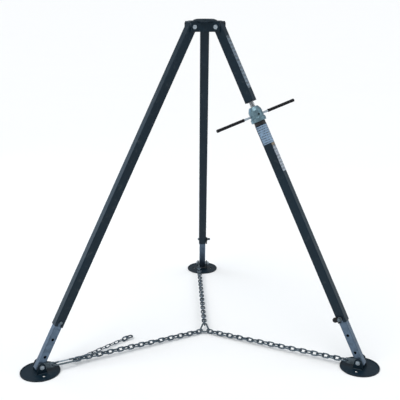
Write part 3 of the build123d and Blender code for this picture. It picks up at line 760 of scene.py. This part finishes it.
class STAND_OT_screw(bpy.types.Operator):
    """Cut the thread on the jack's screw"""

    bl_idname = "stand.screw"
    bl_label = "Jack screw"

    def execute(self, context):
        sizes = context.scene.stand_sizes
        placement = leg_frame("right")
        low, high = node_span("jack_screw", placement)
        crest = high.x
        root = crest - sizes.thread_depth
        lead = sizes.thread_lead
        turns = int((high.z - low.z) / lead) - 1
        tooth = [(root, 0.0), (root, 0.36 * lead), (crest, 0.5 * lead)]
        tooth += [(crest, 0.86 * lead), (root, lead)]
        thread = outline(tooth, "jack_screw_thread")
        screw = thread.modifiers.new("Thread", "SCREW")
        screw.axis = "Z"
        screw.angle = 2 * math.pi
        screw.screw_offset = lead
        screw.iterations = turns
        screw.steps = SCREW_STEPS
        screw.render_steps = SCREW_STEPS
        screw.use_merge_vertices = True
        screw.merge_threshold = 1e-6
        pick(thread)
        bpy.ops.object.modifier_apply(modifier=screw.name)
        settle(thread, Matrix.Translation((0, 0, low.z)))
        ends = (low.z, high.z)
        core_radius = root + BURIED
        core = [(0, ends[0]), (core_radius, ends[0]), (core_radius, ends[1] - MM), (0, ends[1])]
        shaft = turn_outline(core, "jack_screw_core", steps=SCREW_STEPS)
        piece = join([thread, shaft], "jack_screw_threaded")
        edit(piece)
        bpy.ops.mesh.select_all(action="SELECT")
        bpy.ops.mesh.normals_make_consistent(inside=False)
        leave_edit()
        settle(piece, placement)
        soften(piece, 35)
        finish_piece(piece, "jack", "screw_steel", MATERIALS["screw_steel"], "jack_screw")
        return {"FINISHED"}


def grip_outline(length, radius, bore, ribs, depth):
    """Half section of a hand grip from its open end, at height 0, to its closed end."""
    points = [(bore, 0.0), (radius - 0.6 * MM, 0.0), (radius, 1.2 * MM), (radius, 4 * MM)]
    start, end = 7 * MM, length - 10 * MM
    pitch = (end - start) / max(ribs, 1)
    for rib in range(ribs):
        low = start + rib * pitch
        points += [
            (radius - depth, low),
            (radius - depth, low + 0.22 * pitch),
            (radius - 0.25 * depth, low + 0.38 * pitch),
            (radius - 0.25 * depth, low + 0.82 * pitch),
        ]
    points += [(radius, end + 1 * MM), (radius, length - 2.5 * MM)]
    points += [(radius - 0.8 * MM, length - 0.8 * MM), (radius - 2.6 * MM, length), (0, length)]
    return points


class STAND_OT_grips(bpy.types.Operator):
    """Mould the ribbed grips on the ends of the T handle"""

    bl_idname = "stand.grips"
    bl_label = "Handle grips"

    def execute(self, context):
        sizes = context.scene.stand_sizes
        along = Vector(JOINTS["handle_slide"]["axis"]).normalized()
        for node, side in (("handle_grip_left", -1), ("handle_grip_right", 1)):
            low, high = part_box(node)
            middle = (low + high) / 2
            turn = (side * along).to_track_quat("Z", "Y").to_matrix().to_4x4()
            base = Matrix.Translation(middle) @ turn
            span_low, span_high = node_span(node, base)
            length = span_high.z - span_low.z
            radius = (span_high.x - span_low.x) / 2
            bar_low, bar_high = node_span("jack_handle_bar", base)
            bore = (bar_high.x - bar_low.x) / 2 + BURIED
            points = grip_outline(length, radius, bore, sizes.grip_ribs, sizes.rib_depth)
            grip = turn_outline(points, f"{node}_ribbed", steps=36)
            settle(grip, base @ Matrix.Translation((0, 0, span_low.z)))
            soften(grip, 50)
            finish_piece(grip, "handle", "grip_rubber", MATERIALS["grip_rubber"], node)
        return {"FINISHED"}


def label_piece(name, width, height, thickness):
    """A thin film with round corners, in yz and facing +x, centred on the origin."""
    deselect()
    bpy.ops.mesh.primitive_plane_add(size=1.0)
    piece = named(name)
    edit(piece)
    bpy.ops.mesh.select_all(action="SELECT")
    bpy.ops.transform.resize(value=(width, height, 1))
    corner = min(width, height) * 0.12
    bpy.ops.mesh.bevel(offset=corner, segments=4, affect="VERTICES")
    bpy.ops.mesh.extrude_region_move(TRANSFORM_OT_translate={"value": (0, 0, thickness)})
    leave_edit()
    face_outwards(piece)
    quarter = Euler((math.radians(90), 0, math.radians(90))).to_matrix().to_4x4()
    return settle(piece, quarter)


def wrapped_label(name, half, corner, reach, height, thickness):
    """A film that covers a square tube's -y face and folds round its corner on to the +x face."""
    out = half + thickness / 2
    bend = corner + thickness / 2
    points = [(corner - half, -out), (0.0, -out)]
    for step in range(7):
        angle = math.radians(-90 + 15 * step)
        centre = half - corner
        points.append((centre + bend * math.cos(angle), -centre + bend * math.sin(angle)))
    points.append((out, reach))
    film = outline(points, name)
    edit(film)
    bpy.ops.mesh.select_all(action="SELECT")
    bpy.ops.mesh.extrude_edges_move(TRANSFORM_OT_translate={"value": (0, height, 0)})
    leave_edit()
    lie = Matrix(((1, 0, 0, 0), (0, 0, 1, 0), (0, 1, 0, -height / 2), (0, 0, 0, 1)))
    settle(film, lie)
    wall = film.modifiers.new("Film", "SOLIDIFY")
    wall.thickness = thickness
    wall.offset = 0
    pick(film)
    bpy.ops.object.modifier_apply(modifier=wall.name)
    face_outwards(film)
    soften(film, 30)
    return film


class STAND_OT_labels(bpy.types.Operator):
    """Stick labels with rows of plain dashes on the jack leg's tubes"""

    bl_idname = "stand.labels"
    bl_label = "Labels"

    def execute(self, context):
        sizes = context.scene.stand_sizes
        placement = leg_frame("right")
        half = node_span("right_upper_tube", placement)[1].x
        for name, body, top, bottom in FLAT_LABELS:
            label = label_piece(name, sizes.label_width, bottom - top, sizes.label_thickness)
            settle(label, placement @ Matrix.Translation((half, 0, -(top + bottom) / 2)))
            finish_piece(label, body, "powder_coat", MATERIALS[name])
        top, bottom = WRAPPED_LABEL_TOP, WRAPPED_LABEL_BOTTOM
        blue = wrapped_label(
            "label_blue", half, TUBE_CORNER, sizes.label_width / 2, bottom - top,
            sizes.label_thickness)
        settle(blue, placement @ Matrix.Translation((0, 0, -(top + bottom) / 2)))
        finish_piece(blue, "right_jack_leg", "powder_coat", MATERIALS["label_blue"])
        return {"FINISHED"}


def weld_bead(name, length, radius):
    """A straight bead along z with the ripples of a hand weld."""
    ripples = int(length / (1.3 * radius))
    points = [(0.0, 0.0)]
    for ripple in range(ripples):
        start = length * ripple / ripples
        step = length / ripples
        points += [(0.86 * radius, start + 0.15 * step), (radius, start + 0.55 * step)]
    points += [(0.0, length)]
    bead = turn_outline(points, name, steps=14)
    soften(bead, 60)
    return bead


def place_bead(bead, start, end):
    turn = (end - start).to_track_quat("Z", "Y").to_matrix().to_4x4()
    return settle(bead, Matrix.Translation(start) @ turn)


class STAND_OT_welds(bpy.types.Operator):
    """Run weld beads along the foot straps and round the king-pin collar"""

    bl_idname = "stand.welds"
    bl_label = "Welds"

    def execute(self, context):
        radius = context.scene.stand_sizes.weld_radius
        for name in ("left", "right", "back"):
            self.foot_welds(name, radius)
        self.collar_weld(radius)
        return {"FINISHED"}

    @staticmethod
    def foot_welds(name, radius):
        placement = foot_frame(name)
        low, high = node_span(f"{name}_foot_bracket", placement)
        beads = []
        for side in (low.y, high.y):
            bead = weld_bead(f"{name}_bead", high.x - low.x - 2 * radius, radius)
            start = Vector((low.x + radius, side, low.z))
            beads.append(place_bead(bead, start, start + Vector((1, 0, 0))))
        weld = join(beads, f"{name}_foot_welds")
        settle(weld, placement)
        finish_piece(weld, f"{name}_foot", "powder_coat", MATERIALS["weld"])

    @staticmethod
    def collar_weld(radius):
        low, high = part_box("king_pin_collar")
        deselect()
        bpy.ops.mesh.primitive_torus_add(
            major_radius=(high.x - low.x) / 2, minor_radius=radius,
            major_segments=160, minor_segments=8)
        weld = named("collar_weld")
        for vertex in weld.data.vertices:
            angle = math.atan2(vertex.co.y, vertex.co.x)
            ripple = 1 + 0.006 * math.sin(80 * angle)
            vertex.co.x *= ripple
            vertex.co.y *= ripple
        soften(weld, 60)
        finish_piece(weld, "head", "powder_coat", MATERIALS["weld"])


def area_light(name, place, target, size, power, colour=(1, 1, 1)):
    deselect()
    bpy.ops.object.light_add(type="AREA", location=place)
    light = bpy.context.active_object
    light.name = name
    light.data.shape = "RECTANGLE"
    light.data.size = size[0]
    light.data.size_y = size[1]
    light.data.energy = power
    light.data.color = colour
    light.rotation_euler = (Vector(target) - Vector(place)).to_track_quat("-Z", "Y").to_euler()


def soft_sun(name, direction, power, colour):
    """A broad, even light from a direction, with soft shadows."""
    deselect()
    bpy.ops.object.light_add(type="SUN", location=direction)
    sun = bpy.context.active_object
    sun.name = name
    sun.data.energy = power
    sun.data.angle = math.radians(50)
    sun.data.color = colour
    sun.rotation_euler = Vector(direction).to_track_quat("Z", "Y").to_euler()


class STAND_OT_stage(bpy.types.Operator):
    """Lay the pale floor and set the soft lights and the camera"""

    bl_idname = "stand.stage"
    bl_label = "Stage"

    def execute(self, context):
        deselect()
        bpy.ops.mesh.primitive_plane_add(size=FLOOR_SIDE, location=(0, 0, GROUND))
        floor = settle(named("floor"), Matrix.Identity(4))
        floor.data.materials.append(MATERIALS["floor"])
        self.light_world(context)
        middle = Vector((0, 0, GROUND / 2))
        soft_sun("key", (-0.45, -0.40, 1.0), 1.9, (1.0, 0.99, 0.97))
        soft_sun("fill", (0.8, -0.2, 0.9), 0.7, (0.93, 0.97, 1.0))
        area_light("left_back", (-2.5, 1.5, -0.2), middle, (1.2, 1.8), 16, (0.62, 0.80, 1.0))
        area_light("right_back", (2.5, 1.5, -0.2), middle, (0.8, 1.8), 4, (0.70, 0.85, 1.0))
        self.add_camera(context)
        return {"FINISHED"}

    @staticmethod
    def light_world(context):
        world = bpy.data.worlds.new("Pale Studio")
        world.use_nodes = True
        background = world.node_tree.nodes["Background"]
        background.inputs["Color"].default_value = (0.96, 0.98, 1.0, 1.0)
        rays = world.node_tree.nodes.new("ShaderNodeLightPath")
        level = world.node_tree.nodes.new("ShaderNodeMapRange")
        level.inputs["To Min"].default_value = WORLD_LIGHT
        level.inputs["To Max"].default_value = WORLD_SEEN
        world.node_tree.links.new(rays.outputs["Is Camera Ray"], level.inputs["Value"])
        world.node_tree.links.new(level.outputs["Result"], background.inputs["Strength"])
        context.scene.world = world
        context.scene.view_settings.view_transform = "Standard"

    @staticmethod
    def add_camera(context):
        place = Vector(CAMERA_PLACE) + Vector((0, 0, GROUND))
        deselect()
        bpy.ops.object.camera_add(location=place)
        camera = bpy.context.active_object
        camera.rotation_euler = Vector(CAMERA_FORWARD).to_track_quat("-Z", "Y").to_euler()
        camera.data.sensor_width = 36.0
        camera.data.lens = CAMERA_LENS
        camera.data.clip_start = 0.05
        context.scene.camera = camera


class STAND_PT_panel(bpy.types.Panel):
    """Lists the stand's steps and what they can change"""

    bl_idname = "STAND_PT_panel"
    bl_label = "King Pin Tripod Stand"
    bl_space_type = "VIEW_3D"
    bl_region_type = "UI"
    bl_category = "Stand"

    def draw(self, context):
        for operator in STEPS:
            self.layout.operator(operator.bl_idname)
        for settings in (context.scene.stand_sizes, context.scene.stand_colours):
            column = self.layout.column()
            for name in settings.__annotations__:
                column.prop(settings, name)


STEPS = (
    STAND_OT_finishes,
    STAND_OT_chains,
    STAND_OT_screw,
    STAND_OT_grips,
    STAND_OT_labels,
    STAND_OT_welds,
    STAND_OT_stage,
)
CLASSES = (StandColours, StandSizes, *STEPS, STAND_PT_panel)


def register():
    for kind in CLASSES:
        bpy.utils.register_class(kind)
    bpy.types.Scene.stand_colours = PointerProperty(type=StandColours)
    bpy.types.Scene.stand_sizes = PointerProperty(type=StandSizes)


def unregister():
    del bpy.types.Scene.stand_sizes
    del bpy.types.Scene.stand_colours
    for kind in reversed(CLASSES):
        bpy.utils.unregister_class(kind)


def main():
    register()
    bpy.ops.stand.finishes()
    bpy.ops.stand.chains()
    bpy.ops.stand.screw()
    bpy.ops.stand.grips()
    bpy.ops.stand.labels()
    bpy.ops.stand.welds()
    bpy.ops.stand.stage()


if __name__ == "__main__":
    main()
